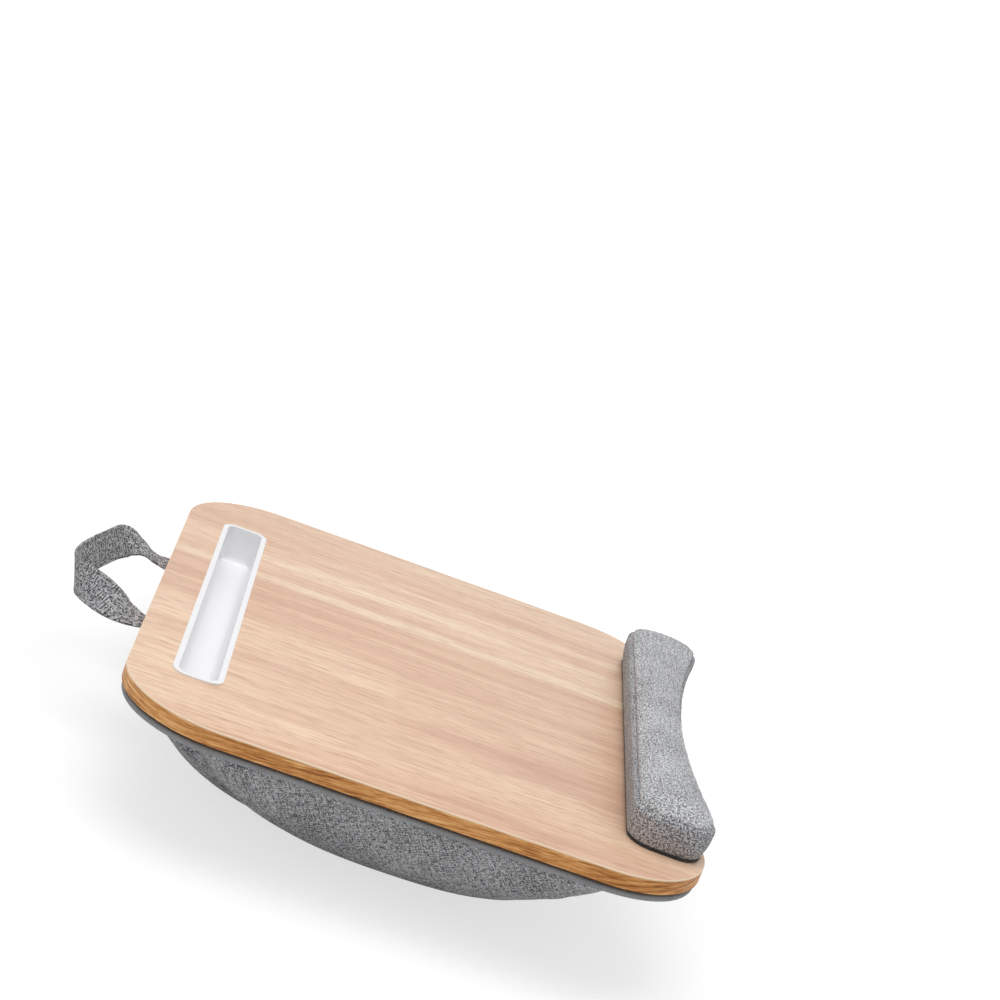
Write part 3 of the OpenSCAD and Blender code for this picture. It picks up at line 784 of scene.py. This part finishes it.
def stitch(shape, spot, run, out, length, width, coat=0):
    """One short thread, lying on the cloth along run."""
    side = out.cross(run).normalized()
    turn = Matrix((run.normalized(), side, out.normalized())).transposed().to_4x4()
    size = Matrix.Diagonal((length / 2, width / 2, width * 0.4, 1))
    made = bmesh.ops.create_icosphere(shape, subdivisions=1, radius=1.0,
                                      matrix=Matrix.Translation(spot) @ turn @ size)
    for face in {f for v in made["verts"] for f in v.link_faces}:
        face.material_index = coat
        face.smooth = True


# %% [markdown]
# ## Binding
# A ribbed tape is folded round the rim of the cover and held by one line of pale stitches. The
# solid's two outlines give the line to follow, and the section gets the round fold and the thin
# edges that the solid doesn't have. The tape isn't quite even, so it wanders a little.

# %% The rim's outlines
def rim_loops(node):
    """The outer and the inner outline of a flat ring, point by point in pairs."""
    shape = solid_copy(node)
    low = min(v.co.z for v in shape.verts)
    edges = [e for e in shape.edges if all(v.co.z < low + 0.01 * MM for v in e.verts)
             and any(abs(f.normal.z) < 0.1 for f in e.link_faces)]
    links = {}
    for edge in edges:
        for v, w in (edge.verts, reversed(edge.verts)):
            links.setdefault(v, []).append(w)
    loops = []
    while links:
        loop = [next(iter(links))]
        while True:
            ahead = [v for v in links.pop(loop[-1]) if v in links]
            if not ahead:
                break
            loop.append(ahead[0])
        loops.append([v.co.copy() for v in loop])
    shape.free()
    loops.sort(key=lambda loop: -max(p.x for p in loop))
    outer, inner = loops[0], loops[-1]
    start = min(range(len(inner)), key=lambda i: (inner[i] - outer[0]).length)
    inner = inner[start:] + inner[:start]
    if (inner[1] - outer[1]).length > (inner[-1] - outer[1]).length:
        inner = [inner[0]] + inner[:0:-1]
    print(node, len(outer), "and", len(inner), "points, furthest pair",
          round(max((p - q).length for p, q in zip(outer, inner)) / MM, 2), "mm apart")
    return outer, inner


def even_pairs(outer, inner, pitch):
    pairs = []
    for p, q, r, t in zip(outer, outer[1:] + outer[:1], inner, inner[1:] + inner[:1]):
        steps = max(1, round((q - p).length / pitch))
        pairs += [(p.lerp(q, i / steps), r.lerp(t, i / steps)) for i in range(steps)]
    return pairs


tape_low, tape_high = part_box("binding_tape")
rim_pairs = even_pairs(*rim_loops("binding_tape"), 2.5 * MM)
TAPE_WIDTH = 12 * MM
TAPE = 0.6 * MM
tape_h = tape_high.z - tape_low.z

# %% Binding tape
tape_profile = [(TAPE_WIDTH, 0.12 * MM), (TAPE_WIDTH - 0.25 * MM, 0), (7 * MM, -0.05 * MM),
                (1.3 * MM, 0), (0.42 * MM, 0.3 * MM), (0.05 * MM, 0.95 * MM),
                (0, tape_h / 2), (0.05 * MM, tape_h - 0.95 * MM), (0.42 * MM, tape_h - 0.3 * MM),
                (1.3 * MM, tape_h), (7 * MM, tape_h), (TAPE_WIDTH, tape_h),
                (TAPE_WIDTH, tape_h - TAPE), (TAPE, tape_h - TAPE), (TAPE, TAPE),
                (TAPE_WIDTH, TAPE)]
tape_sections = []
for outside, inside in rim_pairs:
    inward = (inside - outside).normalized()
    wander = noise.noise(outside / (24 * MM)) * 0.28 * MM
    edge_wander = noise.noise(outside / (9 * MM) + Vector((5, 0, 0))) * 0.25 * MM
    ring = []
    for away, height in tape_profile:
        sway = wander if away < 2 * MM else edge_wander if away > 10 * MM else 0
        ring.append(outside + inward * (away + sway) + Vector((0, 0, height)))
    tape_sections.append(ring)
add_piece("binding", sweep(tape_sections, True), "binding", ["binding_tape"],
          sharp=50)

# %% Binding stitches
stitches = bmesh.new()
away = 0.0
STITCH_PITCH = 4.3 * MM
for (p, r), (q, t) in zip(rim_pairs, rim_pairs[1:] + rim_pairs[:1]):
    step = (q - p).length
    while away < step:
        outside = p.lerp(q, away / step)
        inside = r.lerp(t, away / step)
        spot = outside.lerp(inside, 0.56) + Vector((0, 0, -0.12 * MM))
        stitch(stitches, spot, q - p, Vector((0, 0, -1)), 3.2 * MM, 0.8 * MM)
        away += STITCH_PITCH
    away -= step
print("binding stitches", len(stitches.verts) // 12)
add_piece("binding_stitches", stitches, "thread", sharp=0)

# %% [markdown]
# ## Wrist rest
# A bar of foam in the same cloth: a top panel sewn to a side band, rounded at its ends and a
# little softer than the plain solid. The cloth comes in a lit and a shaded copy: the top panel's
# is painted lighter and the side band's darker. It is made as the cushion is, but held only at
# its foot, and its two ends are drawn in a little towards the foot.

# %% Wrist rest
def faces_out(shell):
    """A test for the faces of a thin upright shell that see no other face of it, looking level."""
    tree = BVHTree.FromBMesh(shell)

    def test(face):
        level = Vector((face.normal.x, face.normal.y, 0))
        start = face.calc_center_median() + level * 0.05 * MM
        return level.length > 0.8 and tree.ray_cast(start, level, 0.5)[0] is None

    return test


def rest_outside(shell):
    if max(v.co.z for v in shell.verts) > rest_high.z - MM:
        return lambda face: face.normal.z > 0.02
    return faces_out(shell)


def cut_upright(skin, spot, reach):
    """Marks the upright line of edges nearest to a place as a cut, to lay a closed band flat."""
    foot = min((v.co for v in skin.verts), key=lambda co: (co - spot).length)
    for edge in skin.edges:
        rise = edge.verts[1].co - edge.verts[0].co
        middle = (edge.verts[0].co + edge.verts[1].co) / 2 - foot
        if abs(rise.z) > 0.8 * rise.length and math.hypot(middle.x, middle.y) < reach:
            edge.seam = True


rest_low, rest_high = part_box("wrist_rest_top_panel")
REST = ["wrist_rest_top_panel", "wrist_rest_side_band"]
rest_shape = join_skin(REST, rest_outside)
cut_upright(rest_shape, Vector((0, rest_low.y, rest_low.z - 20 * MM)), 4 * MM)
print("cut edges", sum(e.seam and not is_sewn(e) for e in rest_shape.edges))
rest_skin = rest_object("rest_skin", rest_shape)
lay_flat(rest_skin, [Vector((1, 0, 0)), Vector((0, 0, 1))])
print("wrist rest skin", len(rest_skin.data.polygons), "faces")
subdivide(rest_skin, 2)
foot_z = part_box("wrist_rest_side_band")[0].z + 0.8 * MM
blow_up(rest_skin, held_weights(rest_skin.data, lambda co: co.z < foot_z, 0.4),
        pressure=3.0, spare=0.0, cap=3.5 * MM, bending=6, tension=25)
subdivide(rest_skin, 1)
seam_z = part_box("wrist_rest_side_band")[1].z
END_SHARE = 0.6
TUCK = 0.8 * MM
for vertex in rest_skin.data.vertices:
    if abs(vertex.co.x) > END_SHARE * rest_high.x:
        rise = min(1.0, (vertex.co.z - foot_z) / (seam_z - foot_z))
        tuck = TUCK * (1 - rise) * (abs(vertex.co.x) / rest_high.x - END_SHARE) / (1 - END_SHARE)
        vertex.co.x -= math.copysign(max(tuck, 0.0), vertex.co.x)
rim, sewn = borders(rest_skin.data)
rest_seam = [rest_skin.data.vertices[i].co.copy() for i in sewn]
sew_in(rest_skin, rest_seam, 1.6 * MM, 1.5 * MM, 0.5 * MM, 0.7 * MM, 5 * MM, 5 * MM, 1.0)
# The top panel takes the painted-light copy of the cloth and the side band takes the painted-shade
# copy.
split_skin(rest_skin, ["wrist_top", "wrist_band"], REST, ["wrist", "wrist_side"],
           ["wrist_cloth", "wrist_cloth"], 1.0 * MM)
shrunk_copy("wrist_foam", "wrist_rest_foam", "foam",
            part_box("wrist_rest_foam")[0].z, 0.94, 0.85)

# %% [markdown]
# ## Handle
# The handle is one strip of doubled cloth with its ends clamped between the board and the
# cushion. Its line is a list of stations, as a tailor would note them: how far along the span, how
# far out, how far up and how the face is turned. It runs in the plain solid's place, with a softer
# twist at its ends, which cloth can have. The strip bends over a short stretch where it leaves the
# board.

# %% Handle's line
SPAN = 118 * MM
STRAP_W = 22 * MM
STRAP_T = 1.8 * MM
bend_y = back_y + 1.6 * MM
bend_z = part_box("handle_tails")[0].z + STRAP_T / 2
loop = [(0.5, 0, 0, 90), (0.5, 6.7, 0.6, 95), (0.503, 12.8, 2.6, 95), (0.502, 20.2, 5, 76),
        (0.478, 28, 6.8, 44), (0.41, 33.3, 6.7, 27), (0.28, 38.5, 6.2, 23), (0.145, 43.8, 5.2, 25),
        (0, 48.5, 3.9, 25), (-0.145, 50, 3, 19), (-0.265, 46.2, 3.6, 5), (-0.35, 38.5, 4.8, -16),
        (-0.425, 30.3, 5.2, -34), (-0.485, 22.4, 4.6, -49), (-0.506, 14.5, 3, -63),
        (-0.503, 6.8, 1.2, -77), (-0.5, 0, 0, -90)]
stations = [(share * SPAN, bend_y + out * MM, bend_z + up * MM, turn)
            for share, out, up, turn in loop]


def spline(a, b, c, d, t):
    return (2 * b + (c - a) * t + (2 * a - 5 * b + 4 * c - d) * t ** 2
            + (3 * b - a - 3 * c + d) * t ** 3) / 2


def smooth_line(stations, steps):
    first = tuple(2 * a - b for a, b in zip(stations[0], stations[1]))
    last = tuple(2 * a - b for a, b in zip(stations[-1], stations[-2]))
    padded = [first, *stations, last]
    line = []
    for a, b, c, d in zip(padded, padded[1:], padded[2:], padded[3:]):
        line += [tuple(spline(*values, i / steps) for values in zip(a, b, c, d))
                 for i in range(steps)]
    return line + [stations[-1]]


STEPS = 10
strap_line = smooth_line(stations, STEPS)
TAIL = 26 * MM
tail_steps = STEPS
tail_end = bend_y - 0.2 * MM
front_tail = [(SPAN / 2, tail_end - TAIL * (1 - i / tail_steps), bend_z, 90)
              for i in range(tail_steps)]
back_tail = [(-SPAN / 2, tail_end - TAIL * i / tail_steps, bend_z, -90)
             for i in range(1, tail_steps + 1)]
strap_line = front_tail + strap_line + back_tail
print("handle", len(strap_line), "stations")

# %% Handle's strip
half_w = STRAP_W / 2
half_t = STRAP_T / 2
strap_profile = [(-half_w, 0), (-half_w + 0.25 * MM, half_t * 0.7), (-half_w + 0.9 * MM, half_t),
                 (-half_w + 2.2 * MM, half_t * 0.72), (-half_w + 4 * MM, half_t * 0.95),
                 (0, half_t), (half_w - 4 * MM, half_t * 0.95), (half_w - 2.2 * MM, half_t * 0.72),
                 (half_w - 0.9 * MM, half_t), (half_w - 0.25 * MM, half_t * 0.7), (half_w, 0),
                 (half_w - 0.25 * MM, -half_t * 0.7), (half_w - 0.9 * MM, -half_t),
                 (half_w - 2.2 * MM, -half_t * 0.72), (half_w - 4 * MM, -half_t * 0.95),
                 (0, -half_t), (-half_w + 4 * MM, -half_t * 0.95),
                 (-half_w + 2.2 * MM, -half_t * 0.72), (-half_w + 0.9 * MM, -half_t),
                 (-half_w + 0.25 * MM, -half_t * 0.7)]
strap_sections = []
strap_frames = []
for i, (x, y, z, turn) in enumerate(strap_line):
    ahead = Vector(strap_line[min(i + 1, len(strap_line) - 1)][:3])
    behind = Vector(strap_line[max(i - 1, 0)][:3])
    run = (ahead - behind).normalized()
    flat = run.cross(Vector((0, 0, 1))).normalized()
    up = flat.cross(run)
    wide = math.cos(math.radians(turn)) * up + math.sin(math.radians(turn)) * flat
    thick = run.cross(wide)
    spot = Vector((x, y, z))
    strap_frames.append((spot, run, wide, thick))
    strap_sections.append([spot + wide * a + thick * b for a, b in strap_profile])
strap = sweep(strap_sections, False)
travelled = 0.0
STRAP_STITCH_PITCH = 3.2 * MM
for (spot, run, wide, thick), (ahead, _, _, _) in zip(strap_frames, strap_frames[1:]):
    step = (ahead - spot).length
    while travelled < step:
        middle = spot + run * travelled
        for side in (-1, 1):
            for face in (-1, 1):
                stitch(strap, middle + wide * side * (half_w - 2.2 * MM)
                       + thick * face * half_t * 0.74, run, thick * face, 2.2 * MM, 0.5 * MM, 1)
        travelled += STRAP_STITCH_PITCH
    travelled -= step
handle = add_piece("handle", strap, "strap", ["handle_strap", "handle_tails"], body=None,
                   sharp=60)
handle.data.materials.append(finishes["grey_thread"])
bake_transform(handle)

# %% Hidden pieces
for node, coat in {"board_core": "core", "base_laminate": "backing", "cushion_base_panel": "lining",
                   "hook_strips": "hooks", "loop_strips": "loops", "wrist_rest_base": "black",
                   "wrist_rest_adhesive": "adhesive"}.items():
    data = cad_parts[node].data
    data.materials.clear()
    data.materials.append(finishes[coat])
